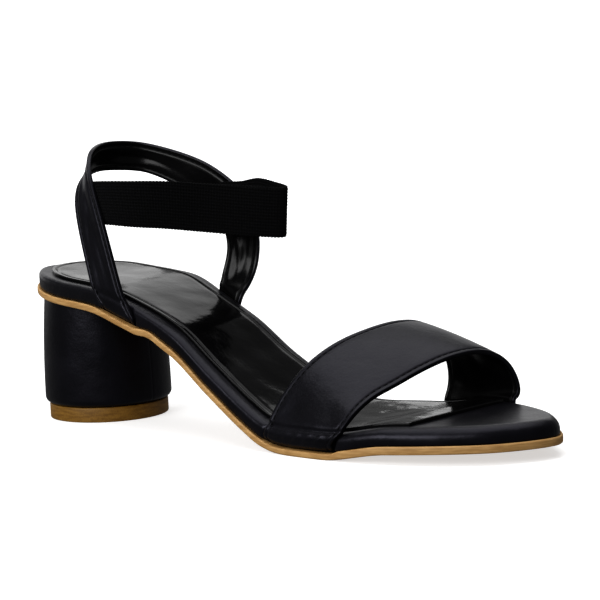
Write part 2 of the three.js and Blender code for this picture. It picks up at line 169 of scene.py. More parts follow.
# Each elastic row: along, across, up, share of the width, rake, lean, and the strap side it lies on.
ELASTIC_ROWS = [
    (0.186, 0, 0.628, 0.92, 0.41, 0, "outer"),
    (0.219, 0, 0.633, 0.92, 0.41, 0, "outer"),
    (0.26, -0.234, 0.615, 0.93, 0.2, 0.12, ""),
    (0.296, -0.112, 0.597, 0.95, 0.06, 0.08, ""),
    (0.336, 0.03, 0.565, 0.97, 0, 0.1, ""),
    (0.383, 0.145, 0.538, 1, 0, 0.07, ""),
    (0.42, 0.222, 0.518, 1, -0.1, 0.02, ""),
    (0.436, 0.265, 0.512, 1, -0.1, 0, ""),
    (0.431, 0.312, 0.517, 1, -0.1, 0, ""),
    (0.403, 0.341, 0.537, 1, -0.05, 0, ""),
    (0.366, 0.342, 0.566, 0.98, 0, 0, ""),
    (0.331, 0, 0.55, 0.96, 0, 0, "inner"),
    (0.295, 0, 0.545, 0.96, 0, 0, "inner"),
]

# The stitches, their groove and the bare ends of the seams
STITCH_INSET = 0.002
STITCH_LENGTH = 0.0021
STITCH_PITCH = 0.0028
STITCH_WIDTH = 0.00055
STITCH_HEIGHT = 0.0004
GROOVE_REACH = 0.0007
GROOVE_FLOOR = 0.0002
SEAM_MARGIN = 0.0125

# The ribs of the elastic
ELASTIC_PICK = 0.0011
ELASTIC_RIB = 0.00125


def place(along):
    return along * SOLE_LENGTH - HEEL_MIDDLE


def mix(a, b, share):
    return a + (b - a) * share


def ease(value, low, high):
    share = np.clip((value - low) / (high - low), 0, 1)
    return share * share * (3 - 2 * share)


def follow(table, column, along):
    """A smooth line through a table's column. It never overshoots, so level rows stay level."""
    table = np.array(table, float)
    x = table[:, 0]
    y = table[:, column]
    slopes = np.diff(y) / np.diff(x)
    before = np.concatenate([slopes[:1], slopes])
    after = np.concatenate([slopes, slopes[-1:]])
    same_way = before * after > 0
    bends = np.where(same_way, 2 * before * after / np.where(same_way, before + after, 1), 0)
    i = np.clip(np.searchsorted(x, along, side="right") - 1, 0, len(x) - 2)
    step = x[i + 1] - x[i]
    t = (along - x[i]) / step
    rise = (3 - 2 * t) * t * t
    return mix(y[i], y[i + 1], rise) + step * t * (1 - t) * ((1 - t) * bends[i] - t * bends[i + 1])


def underside(x):
    along = (np.asarray(x) + HEEL_MIDDLE) / SOLE_LENGTH
    return HEEL_RISE * follow(PROFILE, 1, along) + TOE_SPRING * follow(PROFILE, 2, along)


def length_of(rows):
    return np.linalg.norm(rows, axis=-1, keepdims=True)


def smooth_curve(points, count, closed=False):
    """Evenly stepped points on the centripetal Catmull-Rom curve through some points."""
    points = np.array(points, float)
    spans = len(points) if closed else len(points) - 1
    if closed:
        padded = points[np.arange(-1, spans + 2) % spans]
    else:
        padded = np.vstack([2 * points[0] - points[1], points, 2 * points[-1] - points[-2]])
    t = np.linspace(0, spans, count + 1)
    i = np.minimum(t.astype(int), spans - 1)
    w = (t - i)[:, None]
    p0, p1, p2, p3 = (padded[i + k] for k in range(4))
    d0, d1, d2 = (np.sqrt(length_of(b - a)) for a, b in ((p0, p1), (p1, p2), (p2, p3)))
    t1 = ((p1 - p0) / d0 - (p2 - p0) / (d0 + d1) + (p2 - p1) / d1) * d1
    t2 = ((p2 - p1) / d1 - (p3 - p1) / (d1 + d2) + (p3 - p2) / d2) * d1
    turn = -3 * p1 + 3 * p2 - 2 * t1 - t2
    finish = 2 * p1 - 2 * p2 + t1 + t2
    return p1 + w * (t1 + w * (turn + w * finish))


def sole_sides():
    """The sole's edge as two lines from heel to toe, with the inward direction at each point."""
    corners = [(place(0), HEEL_TIP * BALL_WIDTH)]
    corners += [(place(row[0]), row[1] * BALL_WIDTH) for row in OUTLINE]
    corners += [(place(1), TOE_TIP * BALL_WIDTH)]
    corners += [(place(row[0]), row[2] * BALL_WIDTH) for row in reversed(OUTLINE)]
    steps = 40
    fine = smooth_curve(corners, len(corners) * steps, closed=True)[:-1]
    tangents = np.roll(fine, -1, axis=0) - np.roll(fine, 1, axis=0)
    inward = np.stack([-tangents[:, 1], tangents[:, 0]], axis=1) / length_of(tangents)
    toe = (len(OUTLINE) + 1) * steps
    line = np.hstack([fine, inward])
    outer = line[:toe + 1]
    inner = np.vstack([line[toe:], line[:1]])[::-1]
    return {"outer": outer, "inner": inner}


SIDES = sole_sides()


def edge(x, side, inset):
    """The point of the sole's edge at x on one side, moved inward by an inset."""
    line = SIDES[side]
    y, nx, ny = (np.interp(x, line[:, 0], line[:, k]) for k in (1, 2, 3))
    size = np.hypot(nx, ny)
    return np.stack([x + nx / size * inset, y + ny / size * inset], axis=-1)


def stations(from_x, to_x, ends, middle):
    """Places along the sole, closer together where its two ends are round."""
    quarter = ROUND_END * (1 - np.cos(np.pi / 2 * np.arange(ends) / ends))
    straight = np.linspace(from_x + ROUND_END, to_x - ROUND_END, middle + 1)
    return np.concatenate([from_x + quarter, straight, to_x - quarter[::-1]])


def level(height):
    return lambda x, y: underside(x) + height


def dished(height):
    """A level that is dished toward the middle of the seat."""
    def surface(x, y):
        along = (x + HEEL_MIDDLE) / SOLE_LENGTH
        low = edge(x, "outer", 0)[..., 1]
        high = edge(x, "inner", 0)[..., 1]
        side = (2 * y - low - high) / np.maximum(high - low, 1e-6)
        return underside(x) + height - SEAT_CUP * follow(DISH, 1, along) * np.maximum(0, 1 - side * side)
    return surface


def lay_grid(bm, points, uv=None, material=0, strips=None):
    """Adds a grid of faces through rows of points. Each strip of faces may have its own material."""
    rows, columns = points.shape[:2]
    made = bmesh.ops.create_grid(bm, x_segments=rows - 1, y_segments=columns - 1, size=0.5)["verts"]
    at = {}
    for vertex in made:
        i = round((vertex.co.x + 0.5) * (rows - 1))
        k = round((vertex.co.y + 0.5) * (columns - 1))
        at[vertex] = (i, k)
        vertex.co = points[i, k]
    layer = bm.loops.layers.uv.verify()
    for face in {face for vertex in made for face in vertex.link_faces}:
        face.material_index = material
        if strips is not None:
            face.material_index = strips[min(at[vertex][1] for vertex in face.verts)]
        for loop in face.loops:
            if uv is not None:
                loop[layer].uv = uv[at[loop.vert]]


def finish_piece(name, bm, replaced, materials, crease_angle=50):
    """Merges a piece's seams, turns its faces outward and puts it on the shoe."""
    bmesh.ops.remove_doubles(bm, verts=bm.verts, dist=MERGE_DISTANCE)
    bmesh.ops.dissolve_degenerate(bm, edges=bm.edges, dist=SLIVER)
    open_edges = [e for e in bm.edges if e.is_boundary]
    if open_edges:
        bmesh.ops.holes_fill(bm, edges=open_edges, sides=0)
    bmesh.ops.recalc_face_normals(bm, faces=bm.faces)
    mesh = bpy.data.meshes.new(name)
    bm.to_mesh(mesh)
    bm.free()
    mesh.shade_smooth()
    mesh.set_sharp_from_angle(angle=math.radians(crease_angle))
    for material in materials:
        mesh.materials.append(material)
    piece = bpy.data.objects.new(name, mesh)
    bpy.context.scene.collection.objects.link(piece)
    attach(piece, "root")
    if replaced:
        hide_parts(replaced)
    return piece


# Finishes

# The darker and the lighter shade of each finish
LEATHER_SHADES = ((0.0022, 0.0021, 0.003), (0.0044, 0.0042, 0.006))
LINING_SHADES = ((0.0018, 0.0018, 0.002), (0.0035, 0.0034, 0.0038))
ELASTIC_SHADES = ((0.0022, 0.0022, 0.0025), (0.0055, 0.0055, 0.0062))
THREAD_SHADES = ((0.0015, 0.0015, 0.002), (0.004, 0.004, 0.0048))
TAN_SHADES = ((0.46, 0.255, 0.085), (0.65, 0.395, 0.155))
TREAD_SHADES = ((0.42, 0.22, 0.075), (0.55, 0.31, 0.12))
BROWN_SHADES = ((0.18, 0.084, 0.007), (0.32, 0.165, 0.024))
FLOOR_SHADES = ((0.78, 0.78, 0.78), (0.82, 0.82, 0.82))
FLOOR_GLOWS = ((0.5, 0.5, 0.5), (1, 1, 1))

# The tint of the leather's shine
LEATHER_SHEEN = (0.84, 0.83, 1, 1)


class Value:
    """A number that varies over a surface. Arithmetic on it adds Math nodes."""

    def __init__(self, finish, socket):
        self.finish = finish
        self.socket = socket

    def math(self, operation, a, b=0.0):
        return self.finish.node("ShaderNodeMath", {"operation": operation}, {0: a, 1: b})

    def __add__(self, other):
        return self.math("ADD", self, other)

    def __sub__(self, other):
        return self.math("SUBTRACT", self, other)

    def __rsub__(self, other):
        return self.math("SUBTRACT", other, self)

    def __mul__(self, other):
        return self.math("MULTIPLY", self, other)

    __radd__ = __add__
    __rmul__ = __mul__

    def sine(self):
        return self.math("SINE", self)

    def beside(self, output):
        """Another output of the same node."""
        return Value(self.finish, self.socket.node.outputs[output])

    def between(self, low, high):
        """0 below low, 1 above high, and a smooth rise from one to the other."""
        settings = {"interpolation_type": "SMOOTHSTEP"}
        inputs = {"Value": self, "From Min": low, "From Max": high}
        return self.finish.node("ShaderNodeMapRange", settings, inputs)


class Finish:
    """One material and the nodes that make its finish."""

    def __init__(self, name):
        self.material = bpy.data.materials.new(name)
        self.material.use_nodes = True
        self.tree = self.material.node_tree
        self.tree.nodes.clear()

    def node(self, kind, settings, inputs, output=0):
        made = self.tree.nodes.new(kind)
        for key, value in settings.items():
            setattr(made, key, value)
        for key, value in inputs.items():
            if isinstance(value, Value):
                self.tree.links.new(value.socket, made.inputs[key])
            else:
                made.inputs[key].default_value = value
        return Value(self, made.outputs[output])

    def place(self, output="Object", scale=(1, 1, 1)):
        at = self.node("ShaderNodeTexCoord", {}, {}, output)
        return self.node("ShaderNodeMapping", {}, {"Vector": at, "Scale": scale})

    def noise(self, at, size, detail=2.0):
        """Soft cloudy variation, about as wide as size, in metres."""
        return self.node("ShaderNodeTexNoise", {}, {"Vector": at, "Scale": 1 / size, "Detail": detail})

    def cells(self, at, size):
        """Distance from the middle of small round cells, about as wide as size."""
        return self.node("ShaderNodeTexVoronoi", {}, {"Vector": at, "Scale": 1 / size})

    def blend(self, share, shades):
        """A colour between two shades."""
        settings = {"data_type": "RGBA"}
        first, second = shades
        return self.node("ShaderNodeMix", settings, {0: share, 6: (*first, 1), 7: (*second, 1)}, 2)

    def bump(self, height, depth, under=None):
        inputs = {"Height": height, "Distance": depth, "Strength": 1.0}
        if under is not None:
            inputs["Normal"] = under
        return self.node("ShaderNodeBump", {}, inputs)

    def surface(self, color, roughness, normal, **constants):
        inputs = {"Base Color": color, "Roughness": roughness, "Normal": normal}
        inputs.update({key.replace("_", " "): value for key, value in constants.items()})
        shader = self.node("ShaderNodeBsdfPrincipled", {}, inputs)
        self.node_output(shader)
        return self.material

    def node_output(self, shader):
        out = self.tree.nodes.new("ShaderNodeOutputMaterial")
        self.tree.links.new(shader.socket, out.inputs["Surface"])


def in_seam(f):
    """1 in the stitching groove of a strap, whose faces hold the distance from its edge, and 0 elsewhere."""
    from_edge = f.node("ShaderNodeSeparateXYZ", {}, {"Vector": f.place("UV")}).beside(1)
    entered = from_edge.between(STITCH_INSET - GROOVE_REACH, STITCH_INSET - GROOVE_FLOOR)
    left = from_edge.between(STITCH_INSET + GROOVE_FLOOR, STITCH_INSET + GROOVE_REACH)
    return entered - left


def black_leather(name, stitched):
    """Fine pebbled leather, duller in the stitching groove."""
    f = Finish(name)
    at = f.place()
    pebble = f.cells(at, 0.0009)
    fine = f.noise(at, 0.0005)
    cloud = f.noise(at, 0.014, 3.0)
    soft = f.bump(cloud, 0.0005)
    normal = f.bump(pebble * 0.7 + fine * 0.3, 0.000035, soft)
    color = f.blend(cloud.between(0.3, 0.7), LEATHER_SHADES)
    roughness = 0.26 + cloud * 0.12 + pebble * 0.06
    if stitched:
        roughness = roughness + in_seam(f) * 0.3
    return f.surface(color, roughness, normal, Specular_IOR_Level=0.27, Specular_Tint=LEATHER_SHEEN)


def glossy_lining(name, stitched):
    """Glossy coated lining, a little uneven. The straps' lining is duller than the sock's."""
    f = Finish(name)
    at = f.place()
    ripple = f.noise(at, 0.02, 1.0)
    waves = f.noise(at, 0.0035, 1.0)
    grain = f.noise(at, 0.0007)
    normal = f.bump(grain, 0.00002, f.bump(waves, 0.00007, f.bump(ripple, 0.0011)))
    color = f.blend(ripple.between(0.3, 0.7), LINING_SHADES)
    roughness = (0.2 if stitched else 0.08) + ripple * 0.08
    if stitched:
        roughness = roughness + in_seam(f) * 0.35
    return f.surface(color, roughness, normal, Specular_IOR_Level=0.2)


def black_elastic():
    f = Finish("black_elastic")
    along = f.node("ShaderNodeSeparateXYZ", {}, {"Vector": f.place("UV")})
    across = along.beside(1)
    picks = (along * (2 * math.pi / ELASTIC_PICK)).sine()
    ribs = (across * (2 * math.pi / ELASTIC_RIB)).sine()
    fuzz = f.noise(f.place(), 0.0004)
    normal = f.bump(picks * 0.3 + ribs * 0.3 + fuzz * 0.6, 0.00018)
    color = f.blend(fuzz.between(0.35, 0.75), ELASTIC_SHADES)
    return f.surface(color, 0.85 + fuzz * 0.1, normal, Specular_IOR_Level=0.12)


def outsole_rubber():
    f = Finish("outsole_rubber")
    at = f.place()
    streaks = f.noise(f.place(scale=(0.12, 0.12, 1)), 0.0007, 3.0)
    clouds = f.noise(at, 0.012, 3.0)
    specks = f.noise(at, 0.0005)
    color = f.blend((streaks * 0.7 + clouds * 0.3).between(0.35, 0.68), TAN_SHADES)
    normal = f.bump(streaks * 0.6 + specks * 0.4, 0.00006)
    return f.surface(color, 0.5 + specks * 0.15, normal)


def outsole_tread():
    """The underside: wavy ribs under the ball of the foot, on lightly grained rubber."""
    f = Finish("outsole_tread")
    at = f.place()
    x = f.node("ShaderNodeSeparateXYZ", {}, {"Vector": at})
    y = x.beside(1)
    ball_x, ball_y = 0.150, 0.003
    half_length, half_width = 0.056, 0.031
    wave_length, rib_pitch = 0.011, 0.0032
    from_ball_x = (x - ball_x) * (1 / half_length)
    from_ball_y = (y - ball_y) * (1 / half_width)
    under_ball = 1 - (from_ball_x * from_ball_x + from_ball_y * from_ball_y).between(0.92, 1.0)
    wave = (y * (2 * math.pi / wave_length)).sine()
    ribs = (x * (2 * math.pi / rib_pitch) + wave * 2.4).sine()
    cells = f.cells(at, 0.0016)
    clouds = f.noise(at, 0.015, 3.0)
    color = f.blend(clouds.between(0.3, 0.7), TREAD_SHADES)
    grained = f.bump(cells, 0.0002)
    normal = f.bump(ribs * under_ball, 0.0005, grained)
    return f.surface(color, 0.6 + clouds * 0.15, normal)


def lift_rubber():
    """The top lift's rubber, ribbed where it meets the floor."""
    f = Finish("lift_rubber")
    at = f.place()
    x = f.node("ShaderNodeSeparateXYZ", {}, {"Vector": at})
    y, z = x.beside(1), x.beside(2)
    plain_rim, ribs_end, rib_pitch = 0.0215, 0.021, 0.003
    on_floor = 1 - z.between(0.0001, 0.0003)
    inside = 1 - (x * x + y * y).between(ribs_end * ribs_end, plain_rim * plain_rim)
    ribs = (x * (2 * math.pi / rib_pitch)).sine() * on_floor * inside
    bands = f.noise(f.place(scale=(0.15, 0.15, 1)), 0.0009, 2.0)
    specks = f.noise(at, 0.0006)
    color = f.blend((bands * 0.6 + specks * 0.4).between(0.3, 0.7), BROWN_SHADES)
    normal = f.bump(ribs, 0.0005, f.bump(bands * 0.5 + specks * 0.5, 0.00006))
    return f.surface(color, 0.45 + specks * 0.15, normal)


def thread():
    f = Finish("black_thread")
    twist = f.noise(f.place(), 0.0003)
    color = f.blend(twist, THREAD_SHADES)
    return f.surface(color, 0.65 + twist * 0.2, f.bump(twist, 0.00005), Specular_IOR_Level=0.12)


LEATHER = black_leather("black_leather", False)
STRAP_LEATHER = black_leather("strap_leather", True)
LINING = glossy_lining("glossy_lining", False)
STRAP_LINING = glossy_lining("strap_lining", True)
ELASTIC = black_elastic()
TAN = outsole_rubber()
TREAD = outsole_tread()
BROWN = lift_rubber()
THREAD = thread()


# Sole

def closed_loop(outer, inner, height, columns):
    """A loop round the sole: out along the outer side, across the toe, back, across the heel."""
    across = (np.arange(1, columns) / columns)[:, None]
    loop = np.vstack([
        outer,
        mix(outer[-1], inner[-1], across),
        inner[::-1],
        mix(inner[0], outer[0], across),
        outer[:1],
    ])
    return np.column_stack([loop, height(loop[:, 0], loop[:, 1])])


def rim(places, inset, height, columns):
    """The loop round the sole at one inset."""
    return closed_loop(edge(places, "outer", inset), edge(places, "inner", inset), height, columns)


def cap(places, inset, height, columns):
    """Rows across the sole between the two sides of a loop."""
    outer = edge(places, "outer", inset)[:, None, :]
    inner = edge(places, "inner", inset)[:, None, :]
    across = (np.arange(columns + 1) / columns)[None, :, None]
    flat = mix(outer, inner, across)
    return np.dstack([flat, height(flat[..., 0], flat[..., 1])])


def sole_layer(bm, steps, toe_end, columns, ends=20, middle=150, bottom_material=0):
    """A layer of the sole, from the inset and height of each loop, lowest first."""
    places = stations(place(0) + TIP_FLAT, toe_end, ends, middle)
    loops = np.stack([rim(places, inset, height, columns) for inset, height in steps], axis=1)
    lay_grid(bm, settled(loops))
    lay_grid(bm, settled(cap(places, *steps[0], columns)), material=bottom_material)
    lay_grid(bm, settled(cap(places, *steps[-1], columns)))


def rounded(inset, radius, low, high, height=level, steps=4):
    """Loops up a wall whose lower and upper edges are rounded."""
    angles = np.pi / 2 * np.arange(steps + 1) / steps
    bottom = [(inset + radius * (1 - math.sin(a)), height(low + radius * (1 - math.cos(a)))) for a in angles]
    top = [(inset + radius * (1 - math.cos(a)), height(high - radius * (1 - math.sin(a)))) for a in angles]
    return bottom + top


def settled(points):
    """Points of the sole and straps, lowered at the sag of the sole's outer edge and raised at its knee."""
    x, y, z = (points[..., k] for k in range(3))
    sag = SAG_DEPTH * ease(x, *SAG_BEGINS) * (1 - ease(x, *SAG_ENDS))
    knee = KNEE_HEIGHT * np.exp(-((x - KNEE_PLACE) / KNEE_REACH) ** 2)
    outward = 1 - ease(y, *SAG_SIDE)
    low = 1 - ease(z - underside(x), PLATFORM_BASE, PLATFORM_TOP)
    points = points.copy()
    points[..., 2] = z + (knee - sag) * outward * low
    return points


def under_strap(x, y, spread):
    """1 where a strap turns in over the outsole's edge and 0 elsewhere."""
    total = 0
    for ends in (TOE_STRAP_ENDS, ANKLE_STRAP_ENDS):
        for side, on_side in (("outer", y < 0), ("inner", y >= 0)):
            back, front = (place(along) for along in ends[side])
            total = total + on_side * ease(x, back - spread, back) * (1 - ease(x, front, front + spread))
    return total


def outsole_top(height):
    """The outsole's upper edge: pressed down under the straps, and lipped up round the toe."""
    press = 0.0004
    press_spread = 0.0015
    lip_height = 0.0004
    lip_begins, lip_full = 0.0005, 0.004

    def surface(x, y):
        toe = place(np.where(y < 0, TOE_STRAP_ENDS["outer"][1], TOE_STRAP_ENDS["inner"][1]))
        lip = ease(x, toe + lip_begins, toe + lip_full)
        return underside(x) + height - press * under_strap(x, y, press_spread) + lip_height * lip

    return surface


def make_outsole():
    """The outsole, whose upper face lies a little lower under the platform."""
    bm = bmesh.new()
    edge_round = 0.0006
    step_in, step_down = 0.0003, 0.0004
    steps = rounded(0, edge_round, 0, OUTSOLE_THICKNESS)
    half = len(steps) // 2
    top = rounded(0, edge_round, 0, OUTSOLE_THICKNESS, outsole_top)[half:]
    steps = steps[:half] + top + [(PLATFORM_INSET + step_in, level(OUTSOLE_THICKNESS - step_down))]
    sole_layer(bm, steps, place(1) - TIP_FLAT, 16, bottom_material=1)
    finish_piece("outsole_sheet", bm, "outsole", [TAN, TREAD])


def strap_press(side, x, share):
    """How far a strap presses the platform's side in, at a share of the platform's height."""
    total = 0
    lean = 0.25
    near, far = 0.0001, 0.0012
    for ends, rows in ((TOE_STRAP_ENDS, TOE_STRAP_ROWS), (ANKLE_STRAP_ENDS, ANKLE_STRAP_ROWS)):
        first = rows[0] if side == "outer" else rows[-1]
        back = place(mix(ends[side][0], first[0], share * lean))
        front = place(mix(ends[side][1], first[3], share * lean))
        total = total + ease(x, back - far, back - near) * (1 - ease(x, front + near, front + far))
    return total


def make_platform():
    """The leather-wrapped platform. Its side is pressed in where the straps run down it."""
    bm = bmesh.new()
    columns = 26
    places = stations(place(0) + TIP_FLAT, place(1) - TIP_FLAT, 24, 240)
    bottom_round = 0.0006
    strap_gap = 0.0001
    pressed = STRAP_INSET + STRAP_WALL + strap_gap - PLATFORM_INSET

    def loop_at(inset, height, share):
        lines = []
        for side in ("outer", "inner"):
            press = strap_press(side, places, share) * np.maximum(0, pressed - (inset - PLATFORM_INSET))
            lines.append(edge(places, side, inset + press))
        return closed_loop(*lines, height, columns)

    def lowered(share):
        def surface(x, y):
            return dished(PLATFORM_TOP)(x, y) - round_depth(x) * share
        return surface

    def round_depth(x):
        return follow(PLATFORM_ROUND, 2, (x + HEEL_MIDDLE) / SOLE_LENGTH)

    width = follow(PLATFORM_ROUND, 1, (places + HEEL_MIDDLE) / SOLE_LENGTH)
    depth = round_depth(places)
    steps = []
    for angle in np.pi / 2 * np.arange(4) / 3:
        inset = PLATFORM_INSET + bottom_round * (1 - math.sin(angle))
        rise = bottom_round * (1 - math.cos(angle))
        steps.append((inset, level(PLATFORM_BASE + rise), 0.05))
    for angle in np.pi / 2 * np.arange(11) / 10:
        inset = PLATFORM_INSET + width * (1 - math.cos(angle))
        drop = 1 - math.sin(angle)
        steps.append((inset, lowered(drop), 1 - depth * drop / PLATFORM_THICKNESS))
    loops = np.stack([loop_at(*step) for step in steps], axis=1)
    lay_grid(bm, settled(loops))
    lay_grid(bm, settled(cap(places, steps[0][0], steps[0][1], columns)))
    lay_grid(bm, settled(cap(places, steps[-1][0], steps[-1][1], columns)))
    finish_piece("wrapped_platform", bm, "platform", [LEATHER])


def make_sock():
    """The glossy sock lining, with a border pressed in along its edge."""
    bm = bmesh.new()
    edge_round = 0.0005
    border = 0.0022
    press = 0.0004
    press_reach = 0.0008
    steps = [(SOCK_INSET, dished(SOCK_BASE))]
    for angle in np.pi / 2 * np.arange(5) / 4:
        inset = SOCK_INSET + edge_round * (1 - math.cos(angle))
        steps.append((inset, dished(SOCK_TOP - edge_round * (1 - math.sin(angle)))))
    for reach in np.linspace(-press_reach, press_reach, 9):
        depth = press * math.cos(math.pi / 2 * reach / press_reach) ** 2
        steps.append((SOCK_INSET + border + reach, dished(SOCK_TOP - depth)))
    sole_layer(bm, steps, place(1) - SOCK_TOE_GAP, 22, ends=18, middle=120)
    finish_piece("sock_sheet", bm, "sock_lining", [LINING])


# Heel

def heel_angles():
    """Angles round the heel, closer together at the seam down its breast."""
    near = np.array([0, 0.006, 0.012, 0.018, 0.026, 0.036, 0.05, 0.07])
    rest = np.linspace(0.11, 2 * math.pi - 0.11, 112)
    return np.concatenate([near, rest, 2 * math.pi - near[::-1]])


def make_heel():
    """The covered heel block, with the leather's seam down its breast."""
    bm = bmesh.new()
    angles = heel_angles()
    from_seam = np.minimum(angles, 2 * math.pi - angles)
    foot = LIFT_HEIGHT + CLEARANCE
    seam_depth, seam_reach = 0.00008, 0.0003
    fold_height, fold_place, fold_reach = 0.00003, 0.001, 0.0005
    loops = []
    for angle in np.pi / 2 * np.arange(7) / 6:
        radius = HEEL_RADIUS - HEEL_ROUND * (1 - math.sin(angle))
        loops.append((radius, foot + HEEL_ROUND * (1 - math.cos(angle)), None))
    for share in np.linspace(0, 1, 41)[1:]:
        loops.append((HEEL_RADIUS - HEEL_TAPER * share * share, None, share))
    rows = []
    for radius, height, share in loops:
        reach = from_seam * radius
        groove = seam_depth * np.exp(-(reach / seam_reach) ** 2)
        fold = fold_height * np.exp(-((reach - fold_place) / fold_reach) ** 2)
        radii = radius - groove + fold
        x = radii * np.cos(angles)
        y = radii * np.sin(angles)
        if share is None:
            z = np.full_like(x, height)
        else:
            z = mix(foot + HEEL_ROUND, underside(x) - CLEARANCE / 6, share)
        rows.append(np.column_stack([x, y, z]))
    lay_grid(bm, np.stack(rows, axis=1))
    finish_piece("covered_heel", bm, "heel_block", [LEATHER])


def make_lift():
    """The top lift, with both edges rounded."""
    bm = bmesh.new()
    angles = np.linspace(0, 2 * math.pi, 129)
    edge_round = 0.0005
    quarter = np.pi / 2 * np.arange(5) / 4
    bottom = [(edge_round * (1 - math.sin(a)), edge_round * (1 - math.cos(a))) for a in quarter]
    top = [(edge_round * (1 - math.cos(a)), LIFT_HEIGHT - edge_round * (1 - math.sin(a))) for a in quarter]
    rows = []
    for inset, height in bottom + top:
        radius = LIFT_RADIUS - inset
        x = radius * np.cos(angles)
        y = radius * np.sin(angles)
        rows.append(np.column_stack([x, y, np.full_like(angles, height)]))
    lay_grid(bm, np.stack(rows, axis=1))
    finish_piece("heel_top_lift", bm, "top_lift", [BROWN])


# Straps

def strap_columns(rows, ends, base, height, count):
    """A strap's middle surface, as rows of points along it. Its ends turn in under the platform."""
    lines = 13
    turn_steps = 5
    bend_passes = 60

    def foot(side, along, angle, reach):
        inset = STRAP_INSET + STRAP_WALL / 2 + TUCK_BEND * (1 - math.cos(angle)) + reach
        x, y = edge(place(along), side, inset)
        low = underside(x) + PLATFORM_BASE + STRAP_WALL / 2
        return np.array([x, y, low + TUCK_BEND * (1 - math.sin(angle))])

    def shoulder(side, low, first):
        share = (PLATFORM_TOP - PLATFORM_BASE) / (first[2] - low[2])
        x, y = edge(mix(low[0], first[0], share), side, STRAP_INSET + STRAP_WALL / 2)
        return np.array([x, y, underside(x) + PLATFORM_TOP])

    def free(row, share):
        along, across, up = (mix(row[k], row[k + 3], share) for k in range(3))
        return np.array([place(along), across * BALL_WIDTH, base + up * height])

    columns = []
    for share in np.arange(lines) / (lines - 1):
        middle = [free(row, share) for row in rows]
        low = {side: foot(side, mix(*ends[side], share), 0, 0) for side in ends}
        start = [low["outer"], shoulder("outer", low["outer"], middle[0])]
        end = [shoulder("inner", low["inner"], middle[-1]), low["inner"]]
        free_part = eased(smooth_curve(start + middle + end, count), bend_passes)
        angles = np.pi / 2 * np.arange(1, turn_steps + 1) / turn_steps
        reaches = [(a, 0) for a in angles] + [(math.pi / 2, TUCK_LENGTH / 2), (math.pi / 2, TUCK_LENGTH)]
        turns = {
            side: [foot(side, mix(*ends[side], share), a, reach) for a, reach in reaches] for side in ends
        }
        columns.append(np.vstack([turns["outer"][::-1], free_part, turns["inner"]]))
    return np.stack(columns, axis=1)


def eased(line, passes):
    """A line of points with its bends softened, and its two ends kept."""
    line = line.copy()
    steps = np.arange(len(line))
    share = ease(np.minimum(steps, len(line) - 1 - steps), 1, 12)[1:-1, None]
    for _ in range(passes):
        line[1:-1] += share * 0.25 * (line[:-2] - 2 * line[1:-1] + line[2:])
    return line


class Ribbon:
    """A flexible strip: its middle surface, and points at a distance from its heelward edge."""

    def __init__(self, surface, crown=0.0):
        self.surface = surface
        steps = length_of(np.diff(surface, axis=1))[..., 0]
        self.run = np.concatenate([np.zeros((len(surface), 1)), np.cumsum(steps, axis=1)], axis=1)
        self.width = self.run[:, -1]
        middle = surface[:, surface.shape[1] // 2]
        self.along = np.concatenate([[0], np.cumsum(length_of(np.diff(middle, axis=0))[:, 0])])
        before = np.vstack([surface[:1], surface[:-1]])
        after = np.vstack([surface[1:], surface[-1:]])
        across = surface[:, -1] - surface[:, 0]
        self.tangents = after - before
        normals = np.cross(across[:, None, :], self.tangents)
        self.normals = normals / length_of(normals)
        share = self.along / self.along[-1]
        self.crown = crown * np.sin(np.pi * share)

    def point(self, across, lift):
        """Points on every row, at distances from the heelward edge and above the middle surface."""
        made = np.zeros((len(self.surface), 3))
        normal = np.zeros((len(self.surface), 3))
        for axis in range(3):
            for i, run in enumerate(self.run):
                made[i, axis] = np.interp(across[i], run, self.surface[i, :, axis])
                normal[i, axis] = np.interp(across[i], run, self.normals[i, :, axis])
        share = across / self.width
        raised = lift + self.crown * 4 * share * (1 - share)
        return made + normal / length_of(normal) * raised[:, None]


def section(width, wall, corner, corner_steps, flat_steps, hem):
    """A strip's closed section, as rows of place across, lift and face: 1 above, -1 under, 0 at an edge.

    Its points lie closer together at the hem, where the stitching groove runs.
    """
    half = wall / 2
    hem_shares = np.array([0.4, 0.58, 0.75, 0.88, 1, 1.12, 1.25, 1.5])
    near = np.concatenate([[corner], hem_shares * hem])
    flat = np.concatenate([
        near[:-1],
        np.linspace(near[-1], width - near[-1], flat_steps + 1),
        width - near[:-1][::-1],
    ])
    turn = np.pi / 2 * np.arange(1, corner_steps + 1) / corner_steps
    toe_corner = [
        (width - corner + corner * math.sin(a), half - corner + corner * math.cos(a), 0) for a in turn
    ]
    toe_corner += [(across, -lift, 0) for across, lift, _ in toe_corner[::-1]]
    heel_corner = [(width - across, -lift, 0) for across, lift, _ in toe_corner]
    top = [(s, half, 1) for s in flat]
    under = [(s, -half, -1) for s in flat[::-1]]
    return np.array(top + toe_corner[:-1] + under + heel_corner[:-1] + top[:1])


def crease(ribbon, across, creases, face):
    """How deep a strap's soft creases are on every row. A ridge has a negative depth."""
    total = np.zeros(len(ribbon.surface))
    length = ribbon.along[-1]
    for on, end, reach, share, long, wide, turn, depth in creases:
        if on != face:
            continue
        at = reach if end == "outer" else length - reach
        u = ribbon.along - at
        s = across - share * ribbon.width
        c, d = math.cos(math.radians(turn)), math.sin(math.radians(turn))
        p, q = u * c + s * d, -u * d + s * c
        total += depth * np.exp(-(p / long) ** 2 - (q / wide) ** 2)
    return total


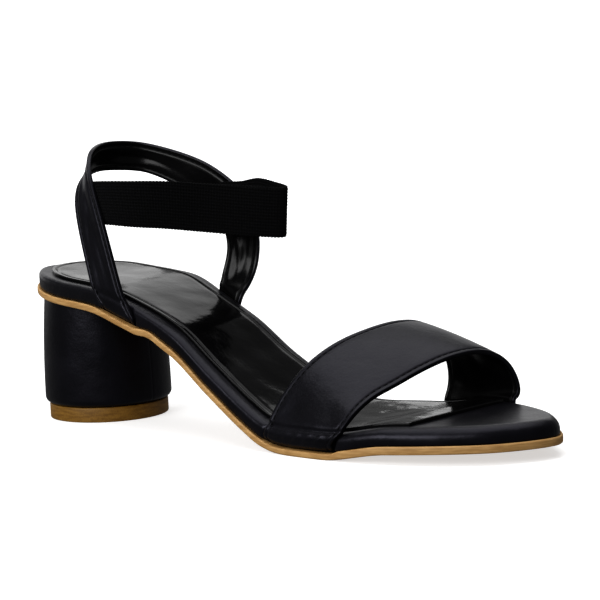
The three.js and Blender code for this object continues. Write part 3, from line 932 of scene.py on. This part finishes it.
def make_strap(name, node, ribbon, creases, flat_steps):
    """A folded leather strap with a glossy lining, and a stitching groove inside both edges."""
    corner = 0.00045
    groove_depth, groove_width = 0.00032, 0.00042
    sections = np.stack([section(w, STRAP_WALL, corner, 4, flat_steps, STITCH_INSET) for w in ribbon.width])
    count = sections.shape[1]
    columns = []
    for k in range(count):
        across, lift, face = (sections[:, k, column] for column in range(3))
        from_edge = np.minimum(across, ribbon.width - across)
        sink = groove_depth * np.exp(-((from_edge - STITCH_INSET) / groove_width) ** 2)
        bend = crease(ribbon, across, creases, "both")
        wrinkle = crease(ribbon, across, creases, "lining")
        columns.append(ribbon.point(across, lift - face * sink - bend + (face < 0) * wrinkle))
    points = settled(np.stack(columns, axis=1))
    from_edge = np.minimum(sections[:, :, 0], ribbon.width[:, None] - sections[:, :, 0])
    uv = np.stack([np.repeat(ribbon.along[:, None], count, axis=1), from_edge], axis=-1)
    faces = sections[0, :, 2]
    strips = [1 if faces[k] < 0 and faces[k + 1] < 0 else 0 for k in range(count - 1)]
    bm = bmesh.new()
    lay_grid(bm, points, uv, strips=strips)
    finish_piece(name, bm, node, [STRAP_LEATHER, STRAP_LINING], 70)


def seam(bm, ribbon, inset_from, face):
    """A row of stitches along a ribbon, in the groove inside one of its edges."""
    sunk = 0.00026
    above_by, ahead_by = 0.001, 0.0005
    across = np.full(len(ribbon.surface), STITCH_INSET)
    if inset_from == "toe":
        across = ribbon.width - STITCH_INSET
    lift = face * (STRAP_WALL / 2 - sunk)
    line = ribbon.point(across, np.full(len(across), lift))
    other = ribbon.point(across, np.full(len(across), lift + face * above_by))
    run = np.concatenate([[0], np.cumsum(length_of(np.diff(line, axis=0))[:, 0])])
    first = np.interp(SEAM_MARGIN, ribbon.along, run)
    last = np.interp(ribbon.along[-1] - SEAM_MARGIN, ribbon.along, run)
    count = int((last - first) / STITCH_PITCH)
    for n in range(count):
        middle = first + (n + 0.5) * STITCH_PITCH
        at, ahead, above = (
            Vector([np.interp(r, run, rows[:, axis]) for axis in range(3)])
            for r, rows in ((middle, line), (middle + ahead_by, line), (middle, other))
        )
        forward = (ahead - at).normalized()
        up = (above - at).normalized()
        aside = up.cross(forward).normalized()
        placing = Matrix.Translation(at) @ Matrix((
            (*(forward * STITCH_LENGTH),),
            (*(aside * STITCH_WIDTH),),
            (*(up * STITCH_HEIGHT),),
        )).transposed().to_4x4()
        bmesh.ops.create_uvsphere(bm, u_segments=6, v_segments=4, radius=0.5, matrix=placing)


def make_stitches(name, ribbon):
    """Four seams: along both edges of a strap, above and under."""
    bm = bmesh.new()
    for inset_from in ("heel", "toe"):
        for face in (1, -1):
            seam(bm, ribbon, inset_from, face)
    finish_piece(name, bm, None, [THREAD])


# How much of a strap's length is turned in under the platform, at each end.
QUARTER_TURN = 1.57
FOOT = TUCK_LENGTH + TUCK_BEND * QUARTER_TURN

# Each crease: what it shapes, the end it is measured from, its distance from there, its share across,
# its length along and width across the strap, its turn in degrees and its depth.
TOE_CREASES = [
    ("both", "outer", FOOT + 0.0054, 0.5, 0.0011, 0.2, 0, 0.0006),
    ("both", "outer", FOOT + 0.0022, 0.5, 0.0016, 0.2, 0, -0.00035),
    ("both", "outer", FOOT + 0.0026, 0.12, 0.0026, 0.0008, 8, 0.0005),
    ("both", "outer", FOOT + 0.0022, 0.27, 0.0024, 0.0009, -6, 0.00055),
    ("both", "outer", FOOT + 0.0030, 0.41, 0.0028, 0.0008, 5, 0.0006),
    ("both", "outer", FOOT + 0.0024, 0.56, 0.0026, 0.0010, -10, 0.00045),
    ("both", "outer", FOOT + 0.0028, 0.72, 0.0028, 0.0008, 4, 0.0006),
    ("both", "outer", FOOT + 0.0025, 0.87, 0.0024, 0.0008, -7, 0.0005),
    ("both", "outer", FOOT + 0.0105, 0.2, 0.0050, 0.0030, 35, 0.0004),
    ("both", "outer", FOOT + 0.0125, 0.75, 0.0060, 0.0032, -30, 0.0004),
    ("both", "inner", FOOT + 0.0050, 0.5, 0.0014, 0.2, 0, 0.0004),
    ("both", "inner", FOOT + 0.0028, 0.3, 0.0026, 0.0009, 6, 0.0004),
    ("both", "inner", FOOT + 0.0026, 0.62, 0.0024, 0.0009, -6, 0.0004),
    ("both", "inner", FOOT + 0.0120, 0.45, 0.0060, 0.0040, 20, 0.0004),
    ("lining", "outer", FOOT + 0.0400, 0.35, 0.0160, 0.0022, 8, 0.0003),
    ("lining", "outer", FOOT + 0.0650, 0.60, 0.0180, 0.0026, -6, 0.0003),
    ("lining", "inner", FOOT + 0.0220, 0.45, 0.0120, 0.0022, 5, 0.0003),
]
ANKLE_CREASES = [
    ("both", "outer", FOOT + 0.0060, 0.5, 0.0018, 0.2, 0, 0.0004),
    ("both", "outer", FOOT + 0.0150, 0.36, 0.0070, 0.0012, 6, 0.0004),
    ("both", "outer", FOOT + 0.0240, 0.62, 0.0100, 0.0014, -4, 0.00045),
    ("both", "outer", FOOT + 0.0330, 0.40, 0.0090, 0.0013, 7, 0.0004),
    ("both", "outer", FOOT + 0.0440, 0.58, 0.0090, 0.0014, -6, 0.0004),
    ("both", "outer", FOOT + 0.0560, 0.42, 0.0080, 0.0014, 5, 0.00035),
    ("both", "outer", FOOT + 0.0700, 0.55, 0.0100, 0.0020, 8, 0.0003),
    ("both", "inner", FOOT + 0.0060, 0.5, 0.0020, 0.2, 0, 0.0004),
    ("both", "inner", FOOT + 0.0250, 0.4, 0.0090, 0.0014, 5, 0.0004),
    ("both", "inner", FOOT + 0.0380, 0.6, 0.0100, 0.0016, -5, 0.00035),
    ("lining", "inner", FOOT + 0.0160, 0.36, 0.0080, 0.0012, 6, 0.0004),
    ("lining", "inner", FOOT + 0.0220, 0.60, 0.0090, 0.0011, -4, 0.0004),
    ("lining", "inner", FOOT + 0.0300, 0.45, 0.0070, 0.0012, 8, 0.0004),
    ("lining", "inner", FOOT + 0.0800, 0.50, 0.0120, 0.0014, -5, 0.0003),
    ("lining", "inner", FOOT + 0.1050, 0.40, 0.0110, 0.0014, 6, 0.0003),
    ("lining", "inner", FOOT + 0.1300, 0.60, 0.0120, 0.0014, -5, 0.00025),
    ("lining", "outer", FOOT + 0.1000, 0.45, 0.0110, 0.0014, 5, 0.0003),
    ("lining", "outer", FOOT + 0.0800, 0.62, 0.0100, 0.0012, -7, 0.0003),
]


def against_strap(ribbon, side, x, z, reach):
    """The point at a place along and a height that lies against the ankle strap's inner face."""
    half = len(ribbon.surface) // 2
    part = slice(0, half) if side == "outer" else slice(half, None)
    points = ribbon.surface[part].reshape(-1, 3)
    normals = ribbon.normals[part].reshape(-1, 3)
    best = np.argmin(np.hypot(points[:, 0] - x, points[:, 2] - z))
    point, normal = points[best], normals[best]
    lift = (x - point[0]) * normal[0] + (z - point[2]) * normal[2]
    y = point[1] - lift / normal[1]
    return np.array([x, y, z]) - normal * reach


def elastic_surface(ankle, columns, count):
    reach = (STRAP_WALL + ELASTIC_WALL) / 2 + ELASTIC_GAP
    made = []
    for share in np.arange(columns + 1) / columns:
        points = []
        for along, across, up, wide, rake, lean, side in ELASTIC_ROWS:
            direction = np.array([-rake, lean, 1])
            direction = direction / np.linalg.norm(direction)
            z = ANKLE_BASE + up * ANKLE_HEIGHT
            point = np.array([place(along), across * BALL_WIDTH, z])
            point = point + direction * (share - 0.5) * ELASTIC_WIDTH * wide
            if side:
                point = against_strap(ankle, side, point[0], point[2], reach)
            points.append(point)
        made.append(smooth_curve(points, count))
    return np.stack(made, axis=1)


def make_elastic(ankle):
    """The ribbed elastic, with a scalloped edge."""
    ribbon = Ribbon(elastic_surface(ankle, 8, 520))
    corner, hem = 0.0005, 0.0015
    rib_height = 0.00011
    scallop_depth, scallop_pitch = 0.00022, 0.0013
    sections = np.stack([section(w, ELASTIC_WALL, corner, 2, 60, hem) for w in ribbon.width])
    count = sections.shape[1]
    scallop = scallop_depth * np.cos(2 * np.pi * ribbon.along / scallop_pitch)
    columns = []
    for k in range(count):
        across, lift, face = (sections[:, k, column] for column in range(3))
        near = 1 - ease(np.minimum(across, ribbon.width - across), 0.0004, 0.002)
        out = np.where(across < ribbon.width / 2, -1, 1)
        across = across + out * near * scallop
        ribs = rib_height * np.cos(2 * np.pi * across / ELASTIC_RIB) - rib_height
        columns.append(ribbon.point(np.clip(across, 0, ribbon.width), lift + face * ribs))
    points = np.stack(columns, axis=1)
    uv = np.stack([np.repeat(ribbon.along[:, None], count, axis=1), sections[:, :, 0]], axis=-1)
    bm = bmesh.new()
    lay_grid(bm, points, uv)
    finish_piece("elastic_webbing", bm, "elastic_band", [ELASTIC], 80)


def make_straps():
    """Both straps with their stitches, and the elastic that is sewn to the ankle strap."""
    toe = Ribbon(
        strap_columns(TOE_STRAP_ROWS, TOE_STRAP_ENDS, PLATFORM_BASE, TOE_STRAP_HEIGHT, 220),
        TOE_STRAP_CROWN,
    )
    ankle = Ribbon(
        strap_columns(ANKLE_STRAP_ROWS, ANKLE_STRAP_ENDS, ANKLE_BASE, ANKLE_HEIGHT, 340),
    )
    make_strap("toe_strap_leather", "toe_strap", toe, TOE_CREASES, 16)
    make_strap("ankle_strap_leather", "ankle_strap", ankle, ANKLE_CREASES, 10)
    make_stitches("toe_strap_stitches", toe)
    make_stitches("ankle_strap_stitches", ankle)
    make_elastic(ankle)


make_outsole()
make_platform()
make_sock()
make_heel()
make_lift()
make_straps()


# Floor, light and camera

STAGE_RADIUS = 9
PHOTO_WIDTH = 600

# The camera that was fitted to the shoe in the photograph: its angles in degrees, its distance and
# target in metres, and its focal length and the shoe's place beside the middle in the photograph's pixels.
CAMERA_ANGLES = (42.4, 7.5, -2.78)
CAMERA_DISTANCE = 0.9
CAMERA_TARGET = (0.094, 0, 0.040)
CAMERA_FOCAL = 1728
CAMERA_AIM = (19.5, 21.3)

# How much larger the shoe stands in the frame than in the photograph.
CLOSER = 1.35


def add_stage(name, bm, material):
    """A piece of the studio, which the shoe neither mirrors nor takes light from."""
    mesh = bpy.data.meshes.new(name)
    bm.to_mesh(mesh)
    bm.free()
    mesh.materials.append(material)
    thing = bpy.data.objects.new(name, mesh)
    bpy.context.scene.collection.objects.link(thing)
    thing.visible_glossy = False
    thing.visible_diffuse = False
    return thing


def make_floor():
    """A pale floor that glows a little, and more so far from the shoe, where less light falls."""
    f = Finish("pale_floor")
    at = f.place()
    cloud = f.noise(at, 0.4)
    x = f.node("ShaderNodeSeparateXYZ", {}, {"Vector": at})
    y = x.beside(1)
    far = (x * x + y * y).between(0.15, 1.6)
    color = f.blend(cloud, FLOOR_SHADES)
    glow = {"Emission_Color": f.blend(far, FLOOR_GLOWS), "Emission_Strength": 1.0}
    material = f.surface(color, 0.8 + cloud * 0.1, f.bump(cloud, 0.0001), **glow)
    bm = bmesh.new()
    bmesh.ops.create_circle(bm, cap_ends=True, segments=64, radius=STAGE_RADIUS)
    add_stage("pale_floor", bm, material)


def make_backdrop():
    """A white dome far behind everything, which neither lights the shoe nor shades it."""
    f = Finish("white_backdrop")
    white = f.node("ShaderNodeEmission", {}, {"Color": (1, 1, 1, 1), "Strength": 1.0})
    f.node_output(white)
    bm = bmesh.new()
    bmesh.ops.create_uvsphere(bm, u_segments=64, v_segments=32, radius=STAGE_RADIUS)
    dome = add_stage("white_backdrop", bm, f.material)
    dome.visible_shadow = False


def add_light(name, location, aim, size, power):
    """A soft light that isn't seen itself."""
    data = bpy.data.lights.new(name, "AREA")
    data.shape = "RECTANGLE"
    data.size, data.size_y = size
    data.energy = power
    light = bpy.data.objects.new(name, data)
    bpy.context.scene.collection.objects.link(light)
    light.location = location
    light.visible_camera = False
    light.rotation_euler = (Vector(aim) - Vector(location)).to_track_quat("-Z", "Y").to_euler()


def make_lights():
    """Soft lights overhead, behind and at the side, and low ones for the sock's and toe opening's shine."""
    world = bpy.data.worlds.new("studio")
    world.use_nodes = True
    background = world.node_tree.nodes["Background"]
    background.inputs["Color"].default_value = (1, 1, 1, 1)
    background.inputs["Strength"].default_value = 0.15
    bpy.context.scene.world = world
    add_light("overhead_softbox", (0.0, 0.05, 1.5), (0.1, 0, 0), (1.7, 1.7), 15)
    add_light("back_softbox", (-1.2, 1.3, 1.04), (0.1, 0, 0.04), (2.2, 0.85), 4.5)
    add_light("low_softbox", (-1.45, 0.53, 0.3), (0.1, 0, 0.04), (1.55, 0.6), 1.9)
    add_light("narrow_softbox", (-0.96, 1.67, 0.3), (0.17, 0.01, 0.04), (0.38, 0.6), 0.45)
    add_light("side_softbox", (0.05, -1.0, 0.5), (0.05, 0, 0.03), (0.9, 0.5), 7)
    bpy.context.scene.view_settings.view_transform = "Standard"
    bpy.context.scene.view_settings.look = "Medium High Contrast"


def make_camera():
    """The camera at the photograph's angle to the shoe, turned to put the shoe in the middle."""
    azimuth, elevation, roll = (math.radians(a) for a in CAMERA_ANGLES)
    level_right = Vector((math.cos(azimuth), math.sin(azimuth), 0))
    ahead = Vector((-math.sin(azimuth), math.cos(azimuth), 0))
    forward = ahead * math.cos(elevation) - Vector((0, 0, math.sin(elevation)))
    level_up = level_right.cross(forward)
    right = level_right * math.cos(roll) + level_up * math.sin(roll)
    up = level_up * math.cos(roll) - level_right * math.sin(roll)
    location = Vector(CAMERA_TARGET) - forward * CAMERA_DISTANCE
    aim_right, aim_up = (pixels / CAMERA_FOCAL for pixels in CAMERA_AIM)
    aimed = (forward + right * aim_right + up * aim_up).normalized()
    aimed_right = aimed.cross(up).normalized()
    aimed_up = aimed_right.cross(aimed)
    data = bpy.data.cameras.new("camera")
    data.sensor_width = 36
    data.lens = CAMERA_FOCAL * CLOSER / PHOTO_WIDTH * data.sensor_width
    data.clip_start, data.clip_end = 0.05, 30
    camera = bpy.data.objects.new("camera", data)
    bpy.context.scene.collection.objects.link(camera)
    turn = Matrix((aimed_right, aimed_up, -aimed)).transposed().to_4x4()
    camera.matrix_world = Matrix.Translation(location) @ turn
    bpy.context.scene.camera = camera


make_floor()
make_backdrop()
make_lights()
make_camera()
